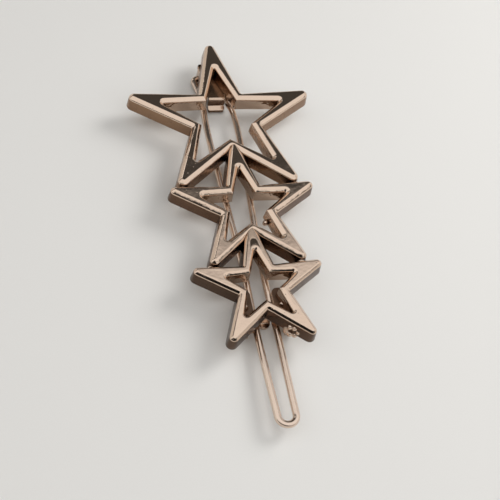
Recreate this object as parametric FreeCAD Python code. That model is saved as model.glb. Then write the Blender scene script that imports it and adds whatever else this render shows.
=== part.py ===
import FreeCAD, Part
import math
import os

# A hair slide: three open five-pointed stars in a row, soldered foot to arm,
# with a hinged U-shaped spring wire behind them that closes on a catch.
# Millimetres. X runs across, Y runs along the row towards the large star and
# Z points out of the decorated front. While the pieces are drawn, the middle
# star's centre is at X 0, Y 0 and the front faces lie at Z 0. The last step
# moves everything so that Z 0 is the lowest point of the hinge bracket and
# X 0, Y 0 is the middle of the whole slide.

os.makedirs("parts", exist_ok=True)
Vector = FreeCAD.Vector

# Star castings: radius out to the rounded tips, and the solid metal in each tip
# from there in to the tip of the opening
large_star_radius = 18.1
large_tip_length = 6.0
middle_star_radius = 13.85
middle_tip_length = 5.65
small_star_radius = 12.0
small_tip_length = 5.25
star_points = 5
fitting_rounds = 5
# Radius of the notches between the points, as a share of the tip radius
notch_share = 0.386
opening_notch_share = 0.421

# Section of every star bar
frame_depth = 3.0
bevel_width = 0.52
bevel_depth = 0.5
edge_round = 0.1
outer_lean = 0.28
inner_lean = 0.15
tip_round = 0.45
least_round = 0.08

# How one star stands on the next, and the solder that holds them
star_gap = 0.06
tuck_gap = 0.03
foot_bead_radius = 0.8
tuck_bead_radius = 0.7
bead_depth_share = 0.55
bead_sliver_share = 0.05
bead_sides = 8
bead_height_shares = (-0.95, -0.35, 0.35, 0.95)
bead_width_shares = (0.4, 1, 1, 0.4)

# Hinge bracket: a folded plate with two ears and a stepped front edge
sheet = 0.6
fold_round = 0.12
bracket_inset = 2.75
bracket_half_width = 2.4
head_length = 0.7
head_corner = 0.5
ear_length = 2.5
hinge_drop = 2.0
neck_half_width = 1.55
neck_length = 5.8
neck_drop = 1.75
neck_lip_length = 0.85
neck_corner = 0.3
hinge_bead_radius = 0.75
head_bead_half = 0.7

# Spring wire
wire_diameter = 1.2
pin_clearance = 0.05
pin_overlap = 0.4
bend_gap = 0.45
bend_reach = 0.95
gentle_turn_degrees = 10
mitred = 1
# One leg, from the hinge to the loop: place along the slide, distance from the
# middle line and drop of the wire's centre below the star backs
pinch_setback = 1.45
pinch_gap = 0.15
pinch_drop = 2.2
knee_reach = 1.65
knee_half = 2.85
knee_drop = 1.15
shoulder_reach = 7.45
shoulder_half = 3.02
shoulder_drop = 1.0
waist_share = 0.73
waist_half = 1.6
waist_drop = 1.45
catch_half = 1.78
catch_gap = 0.3
loop_reach = 17.55
loop_half = 1.5
loop_drop = 0.5

# Catch: a plate with two wings, a stepped tongue between the legs and a
# C-shaped lug outside each leg
wing_inner_half = 1.9
wing_outer_half = 4.1
wing_round = 0.95
wing_rise = 5.2
bridge_rise = 1.3
slot_drop = 0.15
tongue_gap = 0.15
tongue_reach = 0.15
tongue_length = 0.95
tongue_drop = 1.9
tongue_round_share = 0.95
lug_inner_half = 2.6
lug_outer_half = 5.3
lug_length = 2.8
lug_front_reach = 2.6
lug_height = 2.5
lip_inner_half = 3.2
catch_bead_radius = 0.75
wing_bead_half = 3.2
wing_bead_rise = 1.85
wing_bead_lift = 0.2
arm_bead_half = 4.2
arm_bead_reach = 3.17
cut_overrun = 1.0


def rounded_wire(corners):
    """Closed wire through (corner, radius) pairs; a radius of 0 leaves the corner sharp."""
    edges = []
    joins = []
    for index, (corner, radius) in enumerate(corners):
        if radius == 0:
            joins.append((corner, corner))
            continue
        following = corners[(index + 1) % len(corners)][0]
        start, middle, end = corner_arc(corners[index - 1][0], corner, following, radius)
        edges.append(Part.Arc(start, middle, end).toShape())
        joins.append((start, end))
    for (_, end), (start, _) in zip(joins, joins[1:] + joins[:1]):
        edges.append(Part.LineSegment(end, start).toShape())
    return Part.Wire(Part.__sortEdges__(edges))


def corner_arc(before, corner, after, radius=None, reach=None):
    """Start, middle and end of the arc that rounds a corner, by radius or by reach."""
    back = before - corner
    ahead = after - corner
    back.normalize()
    ahead.normalize()
    half_angle = back.getAngle(ahead) / 2
    if reach is None:
        reach = radius / math.tan(half_angle)
    else:
        radius = reach * math.tan(half_angle)
    towards = back + ahead
    towards.normalize()
    middle = corner + towards * (radius / math.sin(half_angle) - radius)
    return corner + back * reach, middle, corner + ahead * reach


def sharp_star(tip_radius, notch_radius, tip_arc, grow):
    """Sharp tip and notch radii of a star whose rounded tips end at tip_radius."""
    half_turn = math.pi / star_points
    sharp_radius = tip_radius
    for _ in range(fitting_rounds):
        rise = sharp_radius - notch_radius * math.cos(half_turn)
        half_angle = math.atan2(notch_radius * math.sin(half_turn), rise)
        sharp_radius = tip_radius + tip_arc * (1 / math.sin(half_angle) - 1)
    scale = 1 + grow / (sharp_radius * math.sin(half_angle))
    return sharp_radius * scale, notch_radius * scale


def star_outline(tip_radius, notch_radius, tip_arc, grow, level):
    """Closed outline of a star with sharp notches, grown outwards."""
    radii = sharp_star(tip_radius, notch_radius, tip_arc, grow)
    arcs = (max(tip_arc + grow, least_round) if tip_arc else 0, 0)
    corners = []
    for step in range(2 * star_points):
        angle = math.pi / 2 - step * math.pi / star_points
        radius = radii[step % 2]
        corner = Vector(radius * math.cos(angle), radius * math.sin(angle), level)
        corners.append((corner, arcs[step % 2]))
    return rounded_wire(corners)


def bar_levels(lean):
    """Height and growth of the bar's section, from the back face to the front."""
    return [
        (-frame_depth, lean),
        (-bevel_depth - edge_round, 0),
        (-bevel_depth + edge_round, -edge_round),
        (0, -bevel_width),
    ]


def star_body(tip_radius, extra=0):
    """The star's outside as one solid, without its opening."""
    outlines = []
    for level, grow in bar_levels(outer_lean):
        outlines.append(star_outline(tip_radius, tip_radius * notch_share, tip_round,
                                     grow + extra, level))
    return Part.makeLoft(outlines, True, True)


def star_opening(tip_radius):
    """The star-shaped opening as a solid that widens at the front bevel."""
    levels = [(-frame_depth - cut_overrun, inner_lean)] + bar_levels(inner_lean)
    levels.append((cut_overrun, -bevel_width))
    outlines = []
    for level, grow in levels:
        outlines.append(star_outline(tip_radius, tip_radius * opening_notch_share, 0,
                                     -grow, level))
    return Part.makeLoft(outlines, True, True)


def open_star(tip_radius, tip_length):
    return star_body(tip_radius).cut(star_opening(tip_radius - tip_length))


def foot_of(tip_radius):
    """Centre of a lower tip's rounding at the back face, from the star's centre."""
    half_turn = math.pi / star_points
    reach = tip_radius - tip_round
    return reach * math.sin(half_turn), -reach * math.cos(half_turn)


def arm_edge(tip_radius, across):
    """Height of a side arm's upper edge at the back face, above the star's centre."""
    tip, notch = sharp_star(tip_radius, tip_radius * notch_share, tip_round, outer_lean)
    side_angle = math.pi / (2 * star_points)
    tip_x, tip_y = tip * math.cos(side_angle), tip * math.sin(side_angle)
    notch_x, notch_y = notch * math.cos(3 * side_angle), notch * math.sin(3 * side_angle)
    return notch_y + (tip_y - notch_y) * (across - notch_x) / (tip_x - notch_x)


def star_spacing(upper_radius, lower_radius):
    """Centre distance at which the upper star's feet stand on the lower star's arms."""
    across, drop = foot_of(upper_radius)
    return arm_edge(lower_radius, across) + star_gap + tip_round + outer_lean - drop


def placed(shape, y):
    moved = shape.copy()
    moved.translate(Vector(0, y, 0))
    return moved


def mirrored(pairs):
    """The (x, y) points with their radii, then their mirror images in reverse."""
    return pairs + [((-x, y), radius) for (x, y), radius in reversed(pairs)]


def flat_piece(pairs, bottom, top):
    """Flat plate with the outline (x, y) and radius, from one height to another."""
    corners = [(Vector(x, y, bottom), radius) for (x, y), radius in pairs]
    return Part.Face(rounded_wire(corners)).extrude(Vector(0, 0, top - bottom))


def folded_piece(pairs, start_y, end_y):
    """Folded sheet with the section (x, z) and radius, along a length of Y."""
    corners = [(Vector(x, start_y, z), radius) for (x, z), radius in pairs]
    return Part.Face(rounded_wire(corners)).extrude(Vector(0, end_y - start_y, 0))


def stepped_strip(half_width, far_y, step_y, length, drop, corner_round):
    """Strip that steps down from the plate and on to a free end with round corners."""
    end_y = step_y - length
    section = [
        ((far_y, back), 0),
        ((step_y, back), sheet),
        ((step_y, back - drop), fold_round),
        ((end_y, back - drop), 0),
        ((end_y, plate_back - drop), 0),
        ((step_y + sheet, plate_back - drop), sheet),
        ((step_y + sheet, plate_back), fold_round),
        ((far_y, plate_back), 0),
    ]
    corners = [(Vector(-half_width, y, z), radius) for (y, z), radius in section]
    strip = Part.Face(rounded_wire(corners)).extrude(Vector(2 * half_width, 0, 0))
    outline = mirrored([((half_width, end_y), corner_round), ((half_width, far_y), 0)])
    return strip.common(flat_piece(outline, plate_back - drop, back))


def solder_lump(centre, radius):
    """A rough lump of solder with flat facets, narrow at its top and bottom."""
    rings = []
    for height, width in zip(bead_height_shares, bead_width_shares):
        ring = []
        for step in range(bead_sides):
            angle = 2 * math.pi * step / bead_sides
            spoke = Vector(math.cos(angle) * width, math.sin(angle) * width, height)
            ring.append(centre + spoke * radius)
        rings.append(ring)
    outlines = [rings[0], rings[-1]]
    for lower, upper in zip(rings, rings[1:]):
        for side in range(bead_sides):
            outlines.append([lower[side - 1], lower[side], upper[side], upper[side - 1]])
    faces = [Part.Face(Part.makePolygon(outline + outline[:1])) for outline in outlines]
    return Part.Solid(Part.Shell(faces))


def solder_beads(centres, radius, neighbours):
    """Solder: a lump at each centre, less the pieces that it has run between."""
    beads = []
    for centre in centres:
        bead = solder_lump(centre, radius)
        for shape in neighbours:
            bead = bead.cut(shape)
        least = bead_sliver_share * radius ** 3
        beads += [solid for solid in bead.Solids if solid.Volume > least]
    return Part.makeCompound(beads)


def both_sides(x, y, z):
    return [Vector(x, y, z), Vector(-x, y, z)]


large_y = star_spacing(large_star_radius, middle_star_radius)
small_y = -star_spacing(middle_star_radius, small_star_radius)
back = -frame_depth
plate_back = back - sheet
wire_radius = wire_diameter / 2
bracket_top_y = large_y + large_star_radius - bracket_inset
ear_top_y = bracket_top_y - head_length
ear_foot_y = ear_top_y - ear_length
hinge_y = (ear_top_y + ear_foot_y) / 2
hinge_z = back - hinge_drop
ear_round = ear_length / 2
neck_step_y = ear_foot_y - neck_length
small_notch_y = small_y - small_star_radius * notch_share
lug_front_y = small_notch_y - lug_front_reach
catch_y = lug_front_y + lug_length / 2


def make_stars():
    large = placed(open_star(large_star_radius, large_tip_length), large_y)
    middle = open_star(middle_star_radius, middle_tip_length)
    middle = middle.cut(placed(star_body(large_star_radius, tuck_gap), large_y))
    small = placed(open_star(small_star_radius, small_tip_length), small_y)
    small = small.cut(star_body(middle_star_radius, tuck_gap))
    return large, middle, small


def make_bracket():
    """Folded bracket behind the large star's top arm."""
    head = flat_piece(mirrored([
        ((bracket_half_width, bracket_top_y), head_corner),
        ((bracket_half_width, ear_top_y), 0),
    ]), plate_back, back)
    neck = stepped_strip(neck_half_width, hinge_y, neck_step_y, neck_lip_length, neck_drop,
                         neck_corner)
    lowest = hinge_z - ear_round
    ear_inner = bracket_half_width - sheet
    channel = folded_piece(mirrored([
        ((ear_inner, plate_back), fold_round),
        ((ear_inner, lowest), 0),
        ((bracket_half_width, lowest), 0),
        ((bracket_half_width, back), sheet),
    ]), ear_foot_y, ear_top_y)
    side = Part.Wire([
        Part.LineSegment(Vector(-bracket_half_width, ear_top_y, back),
                         Vector(-bracket_half_width, ear_foot_y, back)).toShape(),
        Part.LineSegment(Vector(-bracket_half_width, ear_foot_y, back),
                         Vector(-bracket_half_width, ear_foot_y, hinge_z)).toShape(),
        Part.Arc(Vector(-bracket_half_width, ear_foot_y, hinge_z),
                 Vector(-bracket_half_width, hinge_y, lowest),
                 Vector(-bracket_half_width, ear_top_y, hinge_z)).toShape(),
        Part.LineSegment(Vector(-bracket_half_width, ear_top_y, hinge_z),
                         Vector(-bracket_half_width, ear_top_y, back)).toShape(),
    ])
    ears = channel.common(Part.Face(side).extrude(Vector(2 * bracket_half_width, 0, 0)))
    bracket = head.fuse([neck, ears])
    hole = Part.makeCylinder(wire_radius + pin_clearance, 2 * (bracket_half_width + cut_overrun),
                             Vector(-bracket_half_width - cut_overrun, hinge_y, hinge_z),
                             Vector(1, 0, 0))
    return bracket.cut(hole).removeSplitter()


def leg_points():
    """Corners of the right leg's route, from beside the bracket's front step to the loop."""
    shoulder_y = neck_step_y - shoulder_reach
    run = shoulder_y - catch_y
    stations = [
        (neck_step_y + pinch_setback, neck_half_width + pinch_gap + wire_radius, pinch_drop),
        (neck_step_y - knee_reach, knee_half, knee_drop),
        (shoulder_y, shoulder_half, shoulder_drop),
        (shoulder_y - run * waist_share, waist_half, waist_drop),
        (catch_y, catch_half, sheet + catch_gap + wire_radius),
        (catch_y - loop_reach, loop_half, loop_drop),
    ]
    return [Vector(across, along, back - drop) for along, across, drop in stations]


def make_wire():
    """Round wire: pin ends, legs and the closed loop, as one solid."""
    pin_end = Vector(bracket_half_width - sheet - pin_overlap, hinge_y, hinge_z)
    bend = Vector(bracket_half_width + bend_gap + wire_radius, hinge_y, hinge_z)
    legs = leg_points()
    loop_middle = Vector(0, legs[-1].y, legs[-1].z)
    points = [pin_end, bend] + legs + [loop_middle]
    reaches = [bend_reach] * len(legs) + [loop_half]
    edges = []
    here = pin_end
    for before, corner, after, reach in zip(points, points[1:], points[2:], reaches):
        if math.degrees((corner - before).getAngle(after - corner)) < gentle_turn_degrees:
            edges.append(Part.LineSegment(here, corner).toShape())
            here = corner
            continue
        start, middle, end = corner_arc(before, corner, after, reach=reach)
        edges.append(Part.LineSegment(here, start).toShape())
        edges.append(Part.Arc(start, middle, end).toShape())
        here = end
    path = Part.Wire(edges)
    section = Part.Wire(Part.makeCircle(wire_radius, pin_end, Vector(1, 0, 0)))
    half = path.makePipeShell([section], True, False, mitred)
    share = half.Volume / (math.pi * wire_radius ** 2 * path.Length)
    print("half wire", round(path.Length, 2), "volume against a plain rod", round(share, 4))
    return half.fuse(half.mirror(Vector(0, 0, 0), Vector(1, 0, 0))).removeSplitter()


def make_catch():
    """Catch plate behind the small star's lower arms."""
    bridge_top = small_notch_y + bridge_rise
    wing_top = small_notch_y + wing_rise
    slot_y = small_notch_y - slot_drop
    tongue_half = catch_half - wire_radius - tongue_gap
    plate = flat_piece(mirrored([
        ((wing_inner_half, bridge_top), fold_round),
        ((wing_inner_half, wing_top), wing_round),
        ((wing_outer_half, wing_top), wing_round),
        ((wing_outer_half, slot_y), fold_round),
    ]), plate_back, back)
    lowest = back - lug_height
    step_y = slot_y - tongue_reach
    pieces = [stepped_strip(tongue_half, bridge_top, step_y, tongue_length, tongue_drop,
                            tongue_half * tongue_round_share)]
    for side in (1, -1):
        section = [
            ((lug_inner_half, back), 0),
            ((lug_outer_half, back), sheet),
            ((lug_outer_half, lowest), sheet),
            ((lip_inner_half, lowest), fold_round),
            ((lip_inner_half, lowest + sheet), fold_round),
            ((lug_outer_half - sheet, lowest + sheet), fold_round),
            ((lug_outer_half - sheet, plate_back), fold_round),
            ((lug_inner_half, plate_back), 0),
        ]
        section = [((side * x, z), radius) for (x, z), radius in section]
        pieces.append(folded_piece(section, lug_front_y, lug_front_y + lug_length))
    return plate.fuse(pieces).removeSplitter()


def star_solder(upper, lower, upper_radius, upper_y):
    """Solder at both feet of the upper star and in the notch between them."""
    across, drop = foot_of(upper_radius)
    depth = back * bead_depth_share
    foot_y = upper_y + drop - tip_round - outer_lean
    feet = solder_beads(both_sides(across, foot_y, depth), foot_bead_radius, (upper, lower))
    notch_y = upper_y - upper_radius * notch_share
    tuck_y = notch_y - outer_lean - tuck_bead_radius
    tuck = solder_beads(both_sides(tuck_bead_radius, tuck_y, depth), tuck_bead_radius,
                        (upper, lower))
    return Part.makeCompound(feet.Solids + tuck.Solids)


large_star, middle_star, small_star = make_stars()
hinge_bracket = make_bracket()
spring_wire = make_wire()
catch_plate = make_catch()
hinge_spots = both_sides(head_bead_half, bracket_top_y, back)
hinge_spots += both_sides(neck_half_width, ear_foot_y - ear_round, back)
catch_spots = both_sides(wing_bead_half, small_notch_y + wing_bead_rise, back + wing_bead_lift)
catch_spots += both_sides(lug_outer_half, lug_front_y + lug_length / 2, back)
catch_spots.append(Vector(arm_bead_half, small_notch_y - arm_bead_reach, back))

nodes = {
    "large_star": large_star,
    "middle_star": middle_star,
    "small_star": small_star,
    "upper_star_solder": star_solder(large_star, middle_star, large_star_radius, large_y),
    "lower_star_solder": star_solder(middle_star, small_star, middle_star_radius, 0),
    "hinge_bracket": hinge_bracket,
    "hinge_solder": solder_beads(hinge_spots, hinge_bead_radius, (large_star, hinge_bracket)),
    "spring_wire": spring_wire,
    "catch_plate": catch_plate,
    "catch_solder": solder_beads(catch_spots, catch_bead_radius, (small_star, catch_plate)),
}

row_end_y = large_y + large_star_radius + outer_lean
row_start_y = catch_y - loop_reach - wire_radius
lift = Vector(0, -(row_start_y + row_end_y) / 2, frame_depth + hinge_drop + ear_round)
print("moved by", lift, "large star", large_y, "small star", small_y)
print("hinge", Vector(0, hinge_y, hinge_z) + lift, "step", neck_step_y + lift.y)
for name, shape in nodes.items():
    moved = shape.copy()
    moved.translate(lift)
    moved.exportStep("parts/" + name + ".step")
    box = moved.BoundBox
    print(name, len(moved.Solids), moved.isValid(), round(moved.Volume, 2),
          [round(v, 2) for v in (box.XMin, box.YMin, box.ZMin, box.XMax, box.YMax, box.ZMax)])
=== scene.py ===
# %% [markdown]
# # A hair slide of three open stars
# The real object is a small piece of plated jewellery. Three star-shaped castings stand
# foot to arm in a row, held by solder. A folded bracket behind the largest star carries
# a hairpin of spring wire, and a catch behind the smallest star holds its legs.
# This lesson dresses the finished CAD model: it keeps every size and place, and adds the
# soft edges, the wavy polish and the solder that a CAD model leaves out.

# %% Load the measured model
import math

import bmesh
import bpy
from mathutils import Matrix, Vector, noise


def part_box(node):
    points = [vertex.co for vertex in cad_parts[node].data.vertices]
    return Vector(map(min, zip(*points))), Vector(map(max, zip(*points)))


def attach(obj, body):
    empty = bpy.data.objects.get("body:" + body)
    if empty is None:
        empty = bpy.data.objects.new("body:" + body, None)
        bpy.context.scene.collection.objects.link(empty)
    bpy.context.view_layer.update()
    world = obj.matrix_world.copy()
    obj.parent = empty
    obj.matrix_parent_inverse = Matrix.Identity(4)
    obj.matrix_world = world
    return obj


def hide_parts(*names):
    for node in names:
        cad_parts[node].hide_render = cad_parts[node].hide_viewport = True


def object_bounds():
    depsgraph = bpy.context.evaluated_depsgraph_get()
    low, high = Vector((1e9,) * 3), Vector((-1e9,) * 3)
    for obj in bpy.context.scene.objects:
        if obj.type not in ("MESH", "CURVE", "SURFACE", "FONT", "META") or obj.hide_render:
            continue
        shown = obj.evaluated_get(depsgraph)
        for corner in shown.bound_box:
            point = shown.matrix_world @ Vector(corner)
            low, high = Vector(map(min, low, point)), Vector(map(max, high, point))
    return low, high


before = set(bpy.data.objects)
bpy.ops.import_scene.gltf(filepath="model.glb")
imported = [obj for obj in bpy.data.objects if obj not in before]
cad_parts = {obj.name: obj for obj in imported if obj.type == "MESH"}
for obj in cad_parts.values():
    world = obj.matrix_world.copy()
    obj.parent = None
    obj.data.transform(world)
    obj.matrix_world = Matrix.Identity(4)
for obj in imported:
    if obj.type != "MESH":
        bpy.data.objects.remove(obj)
cad_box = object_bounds()
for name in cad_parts:
    low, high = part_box(name)
    print(name, [round((b - a) * 1000, 2) for a, b in zip(low, high)], "mm")

# %% [markdown]
# Everything below is thought of in millimetres, because a jeweller would, and turned
# into Blender's metres once. The colours are written as they would be picked on a screen,
# in sRGB hex, and one function turns them into the linear values that a shader needs.

# %% Units and colours
MM = 0.001


def linear(hex_colour):
    """Linear RGBA of an sRGB hex colour such as '#EBD9C8'."""
    values = []
    for at in (1, 3, 5):
        share = int(hex_colour[at:at + 2], 16) / 255
        values.append(share / 12.92 if share <= 0.04045 else ((share + 0.055) / 1.055) ** 2.4)
    return (*values, 1.0)


print("pale rose gold in linear light:", [round(v, 3) for v in linear("#EBD0BC")[:3]])

# %% [markdown]
# Most forms here are rings of points, joined by quads: the floor, the castings and the
# wire. Curve objects could give the wire too, but one way for all keeps the meshes even
# and lets every point be moved by hand. A bmesh holds a form in mm while it is made.

# %% Turn rings of points into surfaces, and a form into an object


def bridge(form, rings, closed=False):
    """Quads between neighbouring rings, and from the last ring back to the first if closed."""
    followers = rings[1:] + rings[:1] if closed else rings[1:]
    for one, two in zip(rings, followers):
        for at in range(len(one)):
            after = (at + 1) % len(one)
            form.faces.new((one[at], one[after], two[after], two[at]))


def new_object(name, form):
    """Turns a bmesh in mm into an object in metres, and puts it into the scene."""
    bmesh.ops.recalc_face_normals(form, faces=form.faces)
    bmesh.ops.scale(form, vec=(MM, MM, MM), verts=form.verts)
    mesh = bpy.data.meshes.new(name)
    form.to_mesh(mesh)
    form.free()
    made = bpy.data.objects.new(name, mesh)
    bpy.context.scene.collection.objects.link(made)
    return made


print("helpers for rings ready")

# %% [markdown]
# ## Camera
# The photograph looks down on the slide from the front left, from about 16 cm away.
# The place and turn were found by fitting a camera to the stars' corners, which all lie
# in one plane. A matrix is the plainest way to write both at once: its first three
# columns are the camera's right, up and back directions, and the last is its place.

# %% Place the camera
camera_data = bpy.data.cameras.new("camera")
camera_data.sensor_width = 36
camera_data.lens = 64.8
camera_data.clip_start = 0.01
camera = bpy.data.objects.new("camera", camera_data)
bpy.context.scene.collection.objects.link(camera)
camera.matrix_world = Matrix((
    (0.96269, 0.06450, -0.26281, -0.04107),
    (-0.19042, 0.85151, -0.48853, -0.08274),
    (0.19228, 0.52035, 0.83202, 0.13270),
    (0, 0, 0, 1),
))
bpy.context.scene.camera = camera
print("camera height", round(camera.matrix_world.translation.z / MM), "mm")

# %% [markdown]
# ## Floor and light
# Polished metal has hardly any colour of its own: it shows what stands around it. So the
# studio matters as much as the material. Small lamps would show as spots in the plate,
# and so the lights are wide panels of glowing cloth, whose edges the metal can mirror.
#
# A round, pale sweep serves as floor and as backdrop for every side. A soft box hangs
# above. Its slanted front edge, with a black flag beyond it, draws the dark line below
# the bright slopes. Its far edge fades out, and so the flat tops turn from bright on the
# small star to dark on the large one. A strip far back on the left lights the crests of
# the left feet, and an upright one on the right lights the slopes inside them. The rest
# of the room is dim, because dark reflections give polished metal its snap.

# %% The round sweep that everything stands on, in mm
FLOOR_RADIUS, SWEEP_RADIUS = 700, 250
SWEEP_STEPS, SWEEP_SIDES = 16, 96

profile = [(FLOOR_RADIUS * share, 0) for share in (0.2, 0.6, 1.0)]
for step in range(1, SWEEP_STEPS + 1):
    angle = math.pi / 2 * step / SWEEP_STEPS
    profile.append((FLOOR_RADIUS + SWEEP_RADIUS * math.sin(angle), SWEEP_RADIUS * (1 - math.cos(angle))))
sweep = bmesh.new()
turns = [2 * math.pi * side / SWEEP_SIDES for side in range(SWEEP_SIDES)]
rings = [[sweep.verts.new((radius * math.cos(turn), radius * math.sin(turn), height)) for turn in turns]
         for radius, height in profile]
bridge(sweep, rings)
sweep.faces.new(rings[0])
floor = new_object("floor", sweep)
floor.data.shade_smooth()
floor.location.z = cad_box[0][2]
print("floor", len(floor.data.polygons), "faces, at height", round(floor.location.z / MM, 2), "mm")

# %% A soft box of white cloth, a black flag and two strips, in mm
TENT_HEIGHT = 256
TENT_CORNERS = [(-850, 360), (-400, 250), (-200, 150), (-200, 100), (780, 100), (780, -400),
                (220, -465), (-225, -240), (-850, 60)]
FADE_FROM, FADE_TO = 100, 190
EDGE_CORNERS = [(-200, FADE_TO), (780, FADE_TO), (780, FADE_FROM), (-200, FADE_FROM)]
FLAG_CORNERS = [(240, -490), (-225, -255), (-850, 45), (-850, -750), (240, -750)]
BACK_STRIP_HEIGHT = 350
BACK_STRIP_CORNERS = [(-140, 420), (-260, 400), (-560, 720), (-400, 800)]
SIDE_STRIP_CORNERS = [(-280, -130), (280, -130), (280, 130), (-280, 130)]
SIDE_STRIP_PLACE = (482, 193, 175)


def cloth_panel(name, corners, height=0):
    """A level many-sided panel, seen by the metal and the floor but not by the camera."""
    form = bmesh.new()
    form.faces.new([form.verts.new((x, y, height)) for x, y in corners])
    panel = new_object(name, form)
    panel.visible_camera = False
    panel.visible_shadow = False
    return panel


tent = cloth_panel("soft_box", TENT_CORNERS, TENT_HEIGHT)
tent_edge = cloth_panel("soft_box_edge", EDGE_CORNERS, TENT_HEIGHT)
flag = cloth_panel("black_flag", FLAG_CORNERS, TENT_HEIGHT)
back_strip = cloth_panel("back_strip", BACK_STRIP_CORNERS, BACK_STRIP_HEIGHT)
side_strip = cloth_panel("right_strip", SIDE_STRIP_CORNERS)
side_strip.location = Vector(SIDE_STRIP_PLACE) * MM
side_strip.rotation_euler = (-side_strip.location).to_track_quat("Z", "Y").to_euler()
tent_ends = [x for x, _ in TENT_CORNERS]
print("soft box", max(tent_ends) - min(tent_ends), "mm wide, at", TENT_HEIGHT, "mm")

# %% A dim room, and a lamp from the right that lifts the board and gives the soft shadow
LAMP_PLACE, LAMP_WIDTH, LAMP_WATTS = (260, 110, 240), 180, 0.6
ROOM_GLOW = 0.27

world = bpy.data.worlds.new("dim_room")
world.use_nodes = True
world.node_tree.nodes["Background"].inputs["Color"].default_value = linear("#8A8885")
world.node_tree.nodes["Background"].inputs["Strength"].default_value = ROOM_GLOW
bpy.context.scene.world = world
bpy.context.scene.view_settings.view_transform = "Standard"

lamp_data = bpy.data.lights.new("fill_lamp", "AREA")
lamp_data.shape = "DISK"
lamp_data.size = LAMP_WIDTH * MM
lamp_data.energy = LAMP_WATTS
lamp = bpy.data.objects.new("fill_lamp", lamp_data)
bpy.context.scene.collection.objects.link(lamp)
lamp.location = Vector(LAMP_PLACE) * MM
lamp.rotation_euler = (-lamp.location).to_track_quat("-Z", "Y").to_euler()
lamp.visible_glossy = False
print("lamp", round(lamp.location.length / MM), "mm from the slide")

# %% [markdown]
# ## Materials
# One small function adds a node, sets its values and joins its inputs, so that a material
# reads like a recipe.

# %% A function that adds a node


def add(tree, kind, links=None, values=None, **settings):
    """A shader node with its settings, its input values and its links from other sockets."""
    node = tree.nodes.new("ShaderNode" + kind)
    for key, value in settings.items():
        setattr(node, key, value)
    for key, value in (values or {}).items():
        node.inputs[key].default_value = value
    for key, socket in (links or {}).items():
        tree.links.new(socket, node.inputs[key])
    return node


def new_material(name):
    """An empty material with its output node; returns the material, the tree and the output."""
    material = bpy.data.materials.new(name)
    material.use_nodes = True
    tree = material.node_tree
    tree.nodes.clear()
    return material, tree, tree.nodes.new("ShaderNodeOutputMaterial")


print("node helper ready")

# %% [markdown]
# The floor is matt painted board: a pale warm grey with no gloss, so it gives the metal
# something calm to reflect. Its faint grain is a quarter of a millimetre wide. The lights
# hardly reach its far rim, which would then be a dark band in a low view. So the rim shows
# the board's own pale colour to the camera and to the metal. The Light Path node does it
# for these rays alone, and thus the rim sends no light onto the slide.

# %% Painted board
BOARD_GRAIN = 0.25
RIM_FROM = 260

board, tree, output = new_material("matt_painted_board")
coords = add(tree, "TexCoord")
grain = add(tree, "TexNoise", {"Vector": coords.outputs["Object"]},
            {"Scale": 1 / (BOARD_GRAIN * MM), "Detail": 2.0})
tint = add(tree, "MixRGB", {"Fac": grain.outputs["Fac"]},
           {"Color1": linear("#E2E0DC"), "Color2": linear("#E6E4E0")})
paint_coat = add(tree, "BsdfPrincipled", {"Base Color": tint.outputs["Color"]}, {"Roughness": 0.9})
rays = add(tree, "LightPath")
seen = add(tree, "Math", {0: rays.outputs["Is Camera Ray"], 1: rays.outputs["Is Glossy Ray"]},
           operation="MAXIMUM")
seen = add(tree, "Math", {0: seen.outputs["Value"], 1: rays.outputs["Is Transmission Ray"]},
           operation="MAXIMUM")
away = add(tree, "VectorMath", {0: coords.outputs["Object"]}, operation="LENGTH")
rim = add(tree, "MapRange", {"Value": away.outputs["Value"], "To Max": seen.outputs["Value"]},
          {"From Min": RIM_FROM * MM, "From Max": FLOOR_RADIUS * MM}, interpolation_type="SMOOTHSTEP")
pale = add(tree, "Emission", values={"Color": linear("#DAD8D4"), "Strength": 1.0})
mixed = add(tree, "MixShader", {0: rim.outputs["Result"], 1: paint_coat.outputs["BSDF"],
                                2: pale.outputs["Emission"]})
tree.links.new(mixed.outputs["Shader"], output.inputs["Surface"])
floor.data.materials.append(board)
print("material", board.name)

# %% [markdown]
# The soft box is white cloth lit from behind. Its glow is 1 all over, the level where a
# colour renders as it is written. The back strip glows brighter, because the metal shows
# it only as a thin line on a rounded crest.

# %% Glowing cloth and black felt


def glowing_cloth(name, panel, strength=1.0):
    """Covers a panel with glowing white cloth; returns the material's tree and its glow."""
    cloth, tree, output = new_material(name)
    glow = add(tree, "Emission", values={"Color": linear("#FFFFFF"), "Strength": strength})
    tree.links.new(glow.outputs["Emission"], output.inputs["Surface"])
    panel.data.materials.append(cloth)
    print("material", name)
    return tree, glow


glowing_cloth("white_diffuser_cloth", tent)
glowing_cloth("bright_diffuser_strip", back_strip, 1.8)
glowing_cloth("side_diffuser_strip", side_strip, 0.9)
tree, glow = glowing_cloth("diffuser_cloth_fading_out", tent_edge)
across = add(tree, "SeparateXYZ", {"Vector": add(tree, "TexCoord").outputs["Object"]})
level = add(tree, "MapRange", {"Value": across.outputs["Y"]},
            {"From Min": FADE_TO * MM, "From Max": FADE_FROM * MM, "To Min": 0.05, "To Max": 0.95},
            interpolation_type="SMOOTHSTEP")
tree.links.new(level.outputs["Result"], glow.inputs["Strength"])

felt, tree, output = new_material("black_felt")
nap = add(tree, "BsdfPrincipled", values={"Base Color": linear("#0C0B0A"), "Roughness": 1.0})
tree.links.new(nap.outputs["BSDF"], output.inputs["Surface"])
flag.data.materials.append(felt)
print("material", felt.name)

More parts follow.
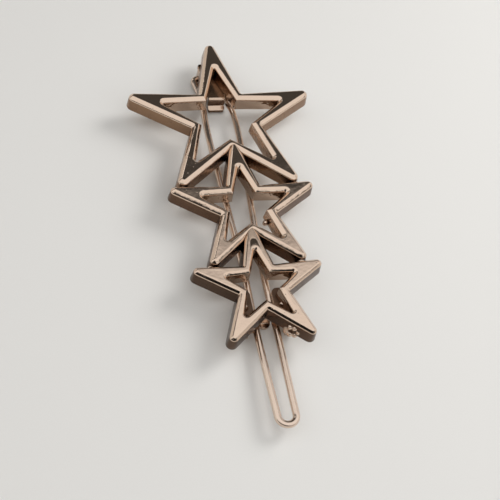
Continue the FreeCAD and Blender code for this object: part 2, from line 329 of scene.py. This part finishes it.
# %% [markdown]
# The castings are zinc alloy, polished on a wheel and then plated in pale rose gold. The
# plate is a mirror, but a soft one: polishing leaves the surface gently wavy over a
# millimetre or two, and the casting underneath leaves small pits. So the recipe is a
# metal of full metallic value with a low roughness that drifts a little, a slow wave
# and some sparse pits in its bump, and painted shade: a browner, darker colour mixed in
# by ambient occlusion in hollows, such as where two pieces meet. A metal's index of
# refraction stays at its default, because its colour sets how it reflects.

# %% Recipe of the plated metal, with its widths in mm
DRIFT_WIDTH = 4.0
HOLLOW_REACH = 0.9
SKIN_GRAIN_WIDTH = 0.22
PIT_SHARE = 0.16


def plated_metal(name, bright, hollow_shade_colour, polish, wave=(0.03, 1.1), pits=(0.01, 0.6), grain=0.0):
    """Rose-gold plate. polish is its roughness; wave and pits are (depth, width) and grain a
    depth, all in mm; bright is its open colour, and the second colour is painted shade for hollows."""
    material, tree, output = new_material(name)
    place = add(tree, "TexCoord").outputs["Object"]
    drift = add(tree, "TexNoise", {"Vector": place}, {"Scale": 1 / (DRIFT_WIDTH * MM), "Detail": 3.0})
    # Painted shade: the ambient occlusion mixes the darker second colour into every hollow.
    hollow = add(tree, "AmbientOcclusion", values={"Distance": HOLLOW_REACH * MM}, samples=8)
    shade = add(tree, "MapRange", {"Value": hollow.outputs["AO"]},
                {"From Min": 0.15, "From Max": 0.75})
    colour = add(tree, "MixRGB", {"Fac": shade.outputs["Result"]},
                 {"Color1": linear(hollow_shade_colour), "Color2": linear(bright)})
    rough = add(tree, "MapRange", {"Value": drift.outputs["Fac"]},
                {"From Min": 0.3, "From Max": 0.7, "To Min": polish * 0.7, "To Max": polish * 1.5})
    ripple = add(tree, "TexNoise", {"Vector": place}, {"Scale": 1 / (wave[1] * MM), "Detail": 2.0})
    surface = add(tree, "Bump", {"Height": ripple.outputs["Fac"]},
                  {"Strength": 1.0, "Distance": wave[0] * MM})
    cells = add(tree, "TexVoronoi", {"Vector": place}, {"Scale": 1 / (pits[1] * MM)})
    pit = add(tree, "MapRange", {"Value": cells.outputs["Distance"]},
              {"From Min": 0.0, "From Max": PIT_SHARE})
    surface = add(tree, "Bump", {"Height": pit.outputs["Result"], "Normal": surface.outputs["Normal"]},
                  {"Strength": 1.0, "Distance": pits[0] * MM})
    if grain:
        skin = add(tree, "TexNoise", {"Vector": place},
                   {"Scale": 1 / (SKIN_GRAIN_WIDTH * MM), "Detail": 4.0})
        surface = add(tree, "Bump", {"Height": skin.outputs["Fac"], "Normal": surface.outputs["Normal"]},
                      {"Strength": 1.0, "Distance": grain * MM})
    shader = add(tree, "BsdfPrincipled",
                 {"Base Color": colour.outputs["Color"], "Roughness": rough.outputs["Result"],
                  "Normal": surface.outputs["Normal"]}, {"Metallic": 1.0})
    tree.links.new(shader.outputs["BSDF"], output.inputs["Surface"])
    print("material", name)
    return material


print("plate recipe ready, pits cover", round(100 * PIT_SHARE), "percent of a cell's width")

# %% [markdown]
# Each finish below says what was done to the plate there. The wheel polishes only the
# front of a casting. Its side walls keep the bare casting skin under the plate, which is
# rougher and faintly grained; their browner, darker colour, the darker the smaller the
# star, is painted shade. The walls of the openings are out of the wheel's reach as well,
# but the plating barrel has worn them to a wavy shine.

# %% Plate on the castings
# In every plate below, the second colour is painted shade for the hollows.
# Front and slopes: polished on the wheel, nearly a mirror.
polished_plate = plated_metal("rose_gold_plate_wheel_polished", "#DCC4B0", "#755B49", 0.09,
                              wave=(0.026, 1.6), pits=(0.012, 0.9))
# Outer walls: plated over the casting skin, satin with a fine grain; their brown colour is painted shade,
# darker for the smaller stars.
WALL_FINISHES_AND_SHADE = {
    "large_star": ("#92755E", "#463327", 0.24),
    "middle_star": ("#6A5242", "#3C2B21", 0.24),
    "small_star": ("#5C493C", "#33251D", 0.22),
}
shaded_wall_plates = {}
for name, (bright, hollow_shade_colour, polish) in WALL_FINISHES_AND_SHADE.items():
    which = name.split("_")[0]
    shaded_wall_plates[name] = plated_metal(f"rose_gold_plate_on_{which}_casting_skin", bright, hollow_shade_colour, polish,
                                     grain=0.01)
# Walls of the openings: tumbled, shiny, and the most uneven.
opening_plate = plated_metal("rose_gold_plate_inside_the_openings", "#B39D8B", "#84705F", 0.12,
                             wave=(0.16, 1.1), pits=(0.015, 0.6))

# %% Plate on sheet, wire and solder
# Here too, the second colour of each plate is painted shade for the hollows.
# Bracket sheet: rolled flat before it was plated, so it has only shallow waves.
bracket_plate = plated_metal("rose_gold_plate_on_bracket_sheet", "#CBB39F", "#5A4536", 0.13,
                             wave=(0.02, 1.2), pits=(0.01, 0.8))
# Its upright faces at the front step and lip: rough, and coloured dark brown as painted shade.
step_shade_plate = plated_metal("rose_gold_plate_painted_dark_on_bracket_step", "#6E5646", "#3A2B21", 0.22,
                              wave=(0.03, 0.8), pits=(0.01, 0.5))
# The catch: the same sheet, dented by the stamp.
catch_plate = plated_metal("rose_gold_plate_on_catch_sheet", "#CBB39F", "#5A4536", 0.14,
                           wave=(0.05, 0.7), pits=(0.02, 0.5))
# Its face behind the small star: coloured a dark brown, rougher and more dented.
dark_catch_face_plate = plated_metal("dark_plate_on_catch_face", "#6A5445", "#2E231B", 0.3,
                             wave=(0.09, 0.6), pits=(0.03, 0.45))
# Spring wire: drawn through a die, the smoothest of all.
wire_plate = plated_metal("rose_gold_plate_on_spring_wire", "#E0CBBA", "#7C6352", 0.15,
                          wave=(0.008, 3.0), pits=(0.006, 1.5))
# Solder: frozen as it flowed, never polished, lumpy over half a millimetre.
solder_plate = plated_metal("plated_solder", "#D8C2B0", "#5E4534", 0.2, wave=(0.07, 0.5), pits=(0.01, 0.5))

# %% [markdown]
# ## The star castings
# A cast bar has no sharp edge anywhere. Its section has a wall that leans out a little
# towards the back, a slope along the front edge and a narrow flat top. A bevel on the
# CAD solid would fail at the narrow tips, so each star is built from rings instead:
# the outline is drawn once for every point of the bar's section, grown or shrunk to
# suit, and neighbouring rings are joined by quads. All rings have the same number of
# points, so the rounded corners stay clean.
#
# No two stars of the real slide are quite alike, because each pattern was cut by hand.
# So nose, slope and arms are sizes of each star, and the two lower ones sit a little to
# one side of the row's middle line.

# %% Sizes of the castings, in mm
DEPTH = 3.0
FRONT_Z = cad_box[1][2] / MM
BACK_Z = FRONT_Z - DEPTH
OUTER_LEAN, INNER_LEAN = 0.28, 0.15
# Notches between the points, as a share of the reach of the tips.
NOTCH, HOLE_NOTCH = 0.391, 0.411
# Reach of the tips and of the opening's tips, distance below the star above, offset to
# the right, rounding of the tips, share of the slope, and length of the two side arms.
STARS = {
    "large_star": {"tip": 18.1, "hole": 12.0, "below": 0.0, "x": 0.0, "nose": 1.0, "slope": 1.0,
                   "arms": 1.0, "hole_arms": 0.975},
    "middle_star": {"tip": 13.85, "hole": 8.2, "below": 19.874, "x": 0.35, "nose": 0.85, "slope": 1.0,
                    "arms": 0.985, "hole_arms": 0.965},
    "small_star": {"tip": 12.0, "hole": 6.75, "below": 15.829, "x": -0.12, "nose": 0.75, "slope": 0.75,
                   "arms": 0.975, "hole_arms": 0.9},
}
centre_y = cad_box[1][1] / MM - OUTER_LEAN - STARS["large_star"]["tip"]
for name, star in STARS.items():
    centre_y -= star["below"]
    star["y"] = centre_y
    print(name, "centre at y", round(centre_y, 2), "mm")

# %% Rounded corners in two dimensions


def rounded(points, radii, steps, closed=True):
    """The polygon's points with every corner turned into an arc of steps + 1 points."""
    path = []
    count = len(points)
    for at, (corner, radius) in enumerate(zip(points, radii)):
        if not closed and at in (0, count - 1):
            path.append(corner.copy())
            continue
        back = (points[at - 1] - corner).normalized()
        ahead = (points[(at + 1) % count] - corner).normalized()
        half = back.angle(ahead) / 2
        middle = corner + (back + ahead).normalized() * (radius / math.sin(half))
        start = corner + back * (radius / math.tan(half)) - middle
        turn = start.angle_signed(corner + ahead * (radius / math.tan(half)) - middle)
        for step in range(steps + 1):
            angle = -turn * step / steps
            cos, sin = math.cos(angle), math.sin(angle)
            path.append(middle + Vector((start.x * cos - start.y * sin, start.x * sin + start.y * cos)))
    return path


corner_test = rounded([Vector((0, 0)), Vector((4, 0)), Vector((4, 4))], [1, 1, 1], 5)
print("a triangle with round corners has", len(corner_test), "points")

# %% A star's outline, with the angle between a tip and the next notch
TIP_TO_NOTCH = math.pi / 5
NOTCH_ROUND, LEAST_ROUND = 0.14, 0.06
SIDE_ARMS = (2, 8)


def star_ring(tip, notch, tip_round, arms, grow, side_steps=26, corner_steps=8):
    """Points of a star outline, grown outwards by grow; arms scales the two side arms."""
    # The sharp point lies beyond the rounded tip, by an amount that depends on its own angle.
    sharp = tip
    for _ in range(6):
        half = math.atan2(notch * math.sin(TIP_TO_NOTCH), sharp - notch * math.cos(TIP_TO_NOTCH))
        sharp = tip + tip_round * (1 / math.sin(half) - 1)
    scale = 1 + grow / (sharp * math.sin(half))
    corners, radii = [], []
    for step in range(10):
        angle = math.pi / 2 - step * TIP_TO_NOTCH
        reach = (notch if step % 2 else sharp) * scale * (arms if step in SIDE_ARMS else 1)
        corners.append(Vector((reach * math.cos(angle), reach * math.sin(angle))))
        radii.append(max(LEAST_ROUND, NOTCH_ROUND - grow if step % 2 else tip_round + grow))
    arcs = rounded(corners, radii, corner_steps)
    ring = []
    for at, point in enumerate(arcs):
        ring.append(point)
        if at % (corner_steps + 1) == corner_steps:
            after = arcs[(at + 1) % len(arcs)]
            ring += [point.lerp(after, step / side_steps) for step in range(1, side_steps)]
    return ring


print("points in a ring:", len(star_ring(18.1, 7.0, 0.45, 1.0, 0)))

# %% The bar's section, in mm: growth of the outline and height, from the back to the front
SLOPE_WIDTH, SLOPE_DEPTH = 0.625, 0.6
OPENING_STEEPER = 1.09
BACK_FACE, FLAT_TOP = 0.4, 0.17
BACK_ROUND, SHOULDER_ROUND, TOP_ROUND = 0.12, 0.5, 0.38


def section(lean, slope, steep=1.0):
    """Half section of a bar as (growth, height); slope sizes its slope, steep deepens it."""
    wide, deep = SLOPE_WIDTH * slope, SLOPE_DEPTH * slope * steep
    corners = [Vector((lean - BACK_FACE, -DEPTH)), Vector((lean, -DEPTH)), Vector((0.0, -deep)),
               Vector((-wide, 0.0)), Vector((-wide - FLAT_TOP, 0.0))]
    return rounded(corners, [0, BACK_ROUND, SHOULDER_ROUND * slope, TOP_ROUND * slope, 0], 7, closed=False)


print("points in a half section:", len(section(OUTER_LEAN, 1.0)))

# %% [markdown]
# Hand polishing wears a casting unevenly by a few hundredths of a millimetre. A displace
# modifier could do that, but here the points are at hand while the rings are made. Two
# layers of noise move them by that much, about a skin that lies inside the CAD faces, so
# that the size is kept. The faces that stand upright get the plate of the walls.

# %% Build a casting
HOLE_TIP_ROUND = 0.2
SKIN, FRONT_SKIN, FRONT_WEAR = 0.03, 0.012, 0.3
# Width and depth of each layer of wear, in mm.
WEAR = ((2.6, 0.03), (0.9, 0.008))
# A face stands upright if the height of its normal is less than this.
UPRIGHT = 0.25


def casting_form(star):
    """A bmesh of one star casting in mm, hand-polished a little uneven."""
    form = bmesh.new()
    rings = []
    outer = [(grow, z, star["tip"], star["tip"] * NOTCH, star["nose"], star["arms"], 1)
             for grow, z in section(OUTER_LEAN, star["slope"])]
    inner = [(grow, z, star["hole"], star["hole"] * HOLE_NOTCH, HOLE_TIP_ROUND, star["hole_arms"], -1)
             for grow, z in section(INNER_LEAN, star["slope"], OPENING_STEEPER)]
    for grow, z, tip, notch, tip_round, arms, side in outer + inner[::-1]:
        ring = []
        for point in star_ring(tip, notch, tip_round, arms, side * grow):
            spot = Vector((point.x, point.y + star["y"], z))
            uneven = sum(noise.noise(spot / width) * depth for width, depth in WEAR)
            out = Vector((point.x, point.y, 0)).normalized() * side
            place = Vector((point.x + star["x"], point.y + star["y"], z + FRONT_Z))
            place -= out * (SKIN + uneven) + Vector((0, 0, FRONT_SKIN + uneven * FRONT_WEAR))
            ring.append(form.verts.new(place))
        rings.append(ring)
    bridge(form, rings, closed=True)
    bmesh.ops.recalc_face_normals(form, faces=form.faces)
    last_outer_face = len(outer) * len(rings[0])
    # Painted shade: upright outer faces get the darker wall colour; upright faces in the openings get the
    # plate of the openings.
    for at, face in enumerate(form.faces):
        if abs(face.normal.z) < UPRIGHT:
            face.material_index = 1 if at < last_outer_face else 2
    print("casting form with", len(form.faces), "faces")
    return form


casting_forms = {name: casting_form(star) for name, star in STARS.items()}

# %% Shade the castings and tie them to the CAD model


def finish_piece(name, form, materials, body, node, smooth=40):
    """Turns a bmesh in mm into a shaded piece that rides on its body and replaces its node."""
    piece = new_object(name, form)
    for finish in materials:
        piece.data.materials.append(finish)
    piece.data.shade_smooth()
    piece.data.set_sharp_from_angle(angle=math.radians(smooth))
    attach(piece, body)
    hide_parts(node)
    print(name, len(piece.data.polygons), "faces")
    return piece


castings = {}
for name, form in casting_forms.items():
    castings[name] = finish_piece(name + "_casting", form, [polished_plate, shaded_wall_plates[name], opening_plate],
                                  "front", name)

# %% [markdown]
# Each lower star slips under the foot of the one above, so the larger star's outside is
# taken away from it with a boolean, just as the maker files it to fit.

# %% Fit each star to the one above it
FIT_GAP = 0.02
# Height above the front and growth of the outline: from behind the back to above the front.
OUTSIDE_LEVELS = ((-DEPTH - 1, OUTER_LEAN + 0.1), (-SLOPE_DEPTH, 0), (0, -SLOPE_WIDTH), (1, -SLOPE_WIDTH))


def solid_star_form(star):
    """A bmesh in mm of the room that a star takes, with its opening filled."""
    form = bmesh.new()
    rings = []
    for level, grow in OUTSIDE_LEVELS:
        outline = star_ring(star["tip"], star["tip"] * NOTCH, star["nose"], star["arms"],
                            grow + FIT_GAP, side_steps=4, corner_steps=6)
        rings.append([form.verts.new((p.x + star["x"], p.y + star["y"], level + FRONT_Z)) for p in outline])
    bridge(form, rings)
    form.faces.new(rings[0])
    form.faces.new(rings[-1])
    return form


def apply_modifiers(piece):
    """Gives a piece the mesh that its modifiers make of it."""
    bpy.context.view_layer.update()
    result = bpy.data.meshes.new_from_object(piece.evaluated_get(bpy.context.evaluated_depsgraph_get()))
    piece.modifiers.clear()
    piece.data = result
    print(piece.name, "has now", len(result.polygons), "faces")


for lower, upper in (("middle_star", "large_star"), ("small_star", "middle_star")):
    room = new_object("room_of_" + upper, solid_star_form(STARS[upper]))
    cut = castings[lower].modifiers.new("fit", "BOOLEAN")
    cut.operation = "DIFFERENCE"
    cut.object = room
    cut.solver = "EXACT"
    apply_modifiers(castings[lower])
    bpy.data.objects.remove(room)

# %% [markdown]
# ## The spring wire
# A hairpin of round wire, bent cold round pegs, so every bend is an arc and none is a
# corner. A tube is swept along a route with rounded bends. The route's corners are the
# places where the bending pegs would stand. One leg is written down, and the other is
# its mirror image. The ends of the frame's wire say where hinge and loop are.

# %% Route of the wire, in mm
WIRE_RADIUS = 0.6
wire_low, wire_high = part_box("spring_wire")
HINGE_Y = wire_high[1] / MM - WIRE_RADIUS
LOOP_Y = wire_low[1] / MM + WIRE_RADIUS
CATCH_Y = LOOP_Y + 17.55
# Distance from the middle line, place along the slide, drop below the stars' backs, and
# how far from the corner its arc starts.
LEG = [
    (1.4, HINGE_Y, 2.0, 0),
    (3.45, HINGE_Y, 2.0, 0.95),
    (2.3, HINGE_Y - 5.6, 2.2, 1.5),
    (2.85, HINGE_Y - 8.7, 1.15, 1.6),
    (3.02, HINGE_Y - 14.5, 1.0, 4.0),
    (1.6, CATCH_Y + 10.917, 1.45, 5.0),
    (1.78, CATCH_Y, 1.5, 5.0),
    (1.5, LOOP_Y, 0.5, 1.5),
]
BEND_STEPS = 10


def bent_route(corners, spacing):
    """Points along straight runs and arcs; each arc starts its reach before the corner."""
    points = [corners[0][0].copy()]

    def run_to(end):
        begin = points[-1].copy()
        steps = max(1, round((end - begin).length / spacing))
        if (end - begin).length > spacing / 10:
            points.extend(begin.lerp(end, step / steps) for step in range(1, steps + 1))

    for (before, _), (corner, reach), (after, _) in zip(corners, corners[1:], corners[2:]):
        start = corner + (before - corner).normalized() * reach
        end = corner + (after - corner).normalized() * reach
        weight = math.sin((before - corner).angle(after - corner) / 2)
        run_to(start)
        for step in range(1, BEND_STEPS + 1):
            share = step / BEND_STEPS
            parts = ((1 - share) ** 2, 2 * weight * share * (1 - share), share ** 2)
            points.append((start * parts[0] + corner * parts[1] + end * parts[2]) / sum(parts))
    run_to(corners[-1][0])
    return points


right_leg = [(Vector((x, y, BACK_Z - drop)), reach) for x, y, drop, reach in LEG]
left_leg = [(Vector((-place.x, place.y, place.z)), reach) for place, reach in right_leg]
wire_points = bent_route(right_leg + left_leg[::-1], 0.4)
length = sum((b - a).length for a, b in zip(wire_points, wire_points[1:]))
print("wire length", round(length, 1), "mm along", len(wire_points), "points")

# %% Sweep a round section along the route
WIRE_SIDES = 24
END_WIDTH, END_LENGTH = 0.8, 0.12


def swept_form(points, radius, sides):
    """A tube of quads along the points, with slightly rounded ends."""
    form = bmesh.new()
    along = [(points[min(at + 1, len(points) - 1)] - points[max(at - 1, 0)]).normalized()
             for at in range(len(points))]
    first, last = along[0] * radius * END_LENGTH, along[-1] * radius * END_LENGTH
    stations = [(points[0] - first, along[0], END_WIDTH)]
    stations += [(point, way, 1.0) for point, way in zip(points, along)]
    stations.append((points[-1] + last, along[-1], END_WIDTH))
    across = along[0].orthogonal().normalized()
    turns = [2 * math.pi * side / sides for side in range(sides)]
    rings = []
    for point, way, width in stations:
        across = (across - way * across.dot(way)).normalized()
        up = way.cross(across)
        rings.append([form.verts.new(point + (across * math.cos(turn) + up * math.sin(turn)) * radius * width)
                      for turn in turns])
    bridge(form, rings)
    form.faces.new(rings[0])
    form.faces.new(rings[-1])
    return form


finish_piece("bent_spring_wire", swept_form(wire_points, WIRE_RADIUS, WIRE_SIDES), [wire_plate], "wire",
             "spring_wire", smooth=50)

# %% [markdown]
# ## Bracket and catch
# Both are stamped from sheet 0.6 mm thick and folded. The CAD solids already have the
# right folds, but their edges are knife sharp. Stamping and tumbling leave a small
# rounded edge that catches the light, so a copy of each is cleaned of its triangles and
# every sharp edge gets a narrow rounded bevel. The bracket's front lip also slopes down,
# as the stamp left it.

# %% Round the edges of the sheet pieces, in mm
EDGE_WIDTH = 0.09
SHARP_ANGLE = math.radians(28)
WELD = 0.003


def softened_form(node):
    """A bmesh of a CAD node in mm with its sharp edges rounded."""
    form = bmesh.new()
    form.from_mesh(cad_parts[node].data)
    bmesh.ops.scale(form, vec=(1 / MM, 1 / MM, 1 / MM), verts=form.verts)
    bmesh.ops.remove_doubles(form, verts=form.verts, dist=WELD)
    bmesh.ops.dissolve_limit(form, angle_limit=math.radians(1), verts=form.verts, edges=form.edges)
    edges = [edge for edge in form.edges
             if len(edge.link_faces) == 2 and edge.calc_face_angle() > SHARP_ANGLE]
    bmesh.ops.bevel(form, geom=edges, offset=EDGE_WIDTH, segments=3, profile=0.5, affect="EDGES",
                    clamp_overlap=True)
    print(node, "softened,", len(form.faces), "faces")
    return form


bracket_form = softened_form("hinge_bracket")
catch_form = softened_form("catch_plate")

# %% Finish the bracket and the catch
# A face is level if the height of its normal is more than this.
LEVEL = 0.9
# The bracket steps down here, and its front lip falls by a share of the way.
STEP_Y = HINGE_Y - 7.05
LIP_START, LIP_FALL = STEP_Y - 0.05, 0.45


def paint(form, index, wanted):
    """Gives material number index to every face that the wanted test picks."""
    form.normal_update()
    for face in form.faces:
        if wanted(face.normal, face.calc_center_median()):
            face.material_index = index


for corner in bracket_form.verts:
    corner.co.z -= max(0.0, LIP_START - corner.co.y) * LIP_FALL
# Painted shade: the upright faces at the front step get a dark plate, and the level top behind the step, seen
# through the large star's opening, gets that star's darker wall colour.
paint(bracket_form, 1, lambda normal, place: place.y < STEP_Y + 1 and abs(normal.z) < UPRIGHT)
paint(bracket_form, 2, lambda normal, place: place.y > STEP_Y + 0.6 and normal.z > LEVEL)
finish_piece("folded_bracket", bracket_form, [bracket_plate, step_shade_plate, shaded_wall_plates["large_star"]],
             "front", "hinge_bracket")

paint(catch_form, 1, lambda normal, place: normal.z > LEVEL and place.z > BACK_Z - 0.15)
finish_piece("folded_catch", catch_form, [catch_plate, dark_catch_face_plate], "front", "catch_plate")

# %% [markdown]
# ## Solder
# Solder flows into the corner between two pieces and freezes with a smooth, slightly
# lumpy skin. Metaballs would melt together too, but their size is hard to set. So each
# fillet is a few overlapping drops, melted together by a voxel remesh and smoothed,
# which gives the rounded valleys that real drops have. A ring of solder has crept round
# the catch's right lug.

# %% Places of the solder, in mm
BOTH_SIDES, RIGHT_SIDE = (1, -1), (1,)
BEAD_Z = FRONT_Z - 0.55 * DEPTH
PLATE_Z = BACK_Z - 0.05
FOOT_BEAD, TUCK_BEAD = 0.8, 0.7
# The CAD stars' own tip radius and notch share, which say where their feet and notches end.
CAD_TIP_ROUND, CAD_NOTCH = 0.45, 0.386


def star_beads(star):
    """Solder at a star's feet and in the notch between them: place, radius and sides."""
    reach = star["tip"] - CAD_TIP_ROUND
    foot_x = reach * math.sin(TIP_TO_NOTCH)
    foot_y = star["y"] - reach * math.cos(TIP_TO_NOTCH) - CAD_TIP_ROUND - OUTER_LEAN
    tuck_y = star["y"] - star["tip"] * CAD_NOTCH - OUTER_LEAN - TUCK_BEAD
    return [(foot_x, foot_y, BEAD_Z, FOOT_BEAD, BOTH_SIDES),
            (TUCK_BEAD, tuck_y, BEAD_Z, TUCK_BEAD, BOTH_SIDES)]


LUG_RING = [(2.9, -1.37, 3.5), (3.3, -1.57, 4.35), (4.0, -2.05, 4.6), (4.55, -2.52, 4.0),
            (4.3, -2.47, 3.0), (3.5, -2.07, 2.8), (3.0, -1.57, 2.9)]
middle_y = STARS["middle_star"]["y"]
SOLDER = {
    "upper_star_solder": star_beads(STARS["large_star"]),
    "lower_star_solder": star_beads(STARS["middle_star"]) + [(3.55, middle_y - 2.53, 3.7, 0.65, RIGHT_SIDE)],
    "hinge_solder": [(0.7, HINGE_Y + 1.95, PLATE_Z, 0.6, BOTH_SIDES),
                     (1.55, HINGE_Y - 2.5, PLATE_Z, 0.65, BOTH_SIDES)],
    "catch_solder": [(3.2, CATCH_Y + 3.05, BACK_Z + 0.15, 0.65, BOTH_SIDES),
                     (5.3, CATCH_Y, PLATE_Z, 0.6, BOTH_SIDES),
                     (4.2, CATCH_Y - 1.97, 3.0, 0.5, RIGHT_SIDE)],
}
SOLDER["catch_solder"] += [(x, CATCH_Y + y, z, 0.6, RIGHT_SIDE) for x, y, z in LUG_RING]
print("solder in", sum(len(spots) for spots in SOLDER.values()), "places")

# %% Melt the drops together
DROPS = 4
DROP_SIZE, DROP_SHRINK, DROP_TALL, DROP_WANDER = 0.78, 0.05, 1.25, 0.22
VOXEL = 0.09


def solder_form(spots):
    """A bmesh of overlapping drops at each place, on the sides that it names."""
    form = bmesh.new()
    for x, y, z, radius, sides in spots:
        for side in sides:
            for drop in range(DROPS):
                wander = noise.random_unit_vector() * radius * DROP_WANDER
                centre = Vector((side * x, y, z)) + wander
                tall = Matrix.Translation(centre) @ Matrix.Diagonal((1, 1, DROP_TALL, 1))
                bmesh.ops.create_icosphere(form, subdivisions=3, matrix=tall,
                                           radius=radius * (DROP_SIZE - DROP_SHRINK * drop))
    return form


noise.seed_set(5)
for node, spots in SOLDER.items():
    fillets = finish_piece(node + "_fillets", solder_form(spots), [solder_plate], "front", node)
    melt = fillets.modifiers.new("melt", "REMESH")
    melt.mode = "VOXEL"
    melt.voxel_size = VOXEL * MM
    soften = fillets.modifiers.new("soften", "SMOOTH")
    soften.iterations = 6
    apply_modifiers(fillets)
    fillets.data.shade_smooth()

# %% [markdown]
# ## Size
# Dressing must not change the size of the part.

# %% Finish
print("dressing finished")
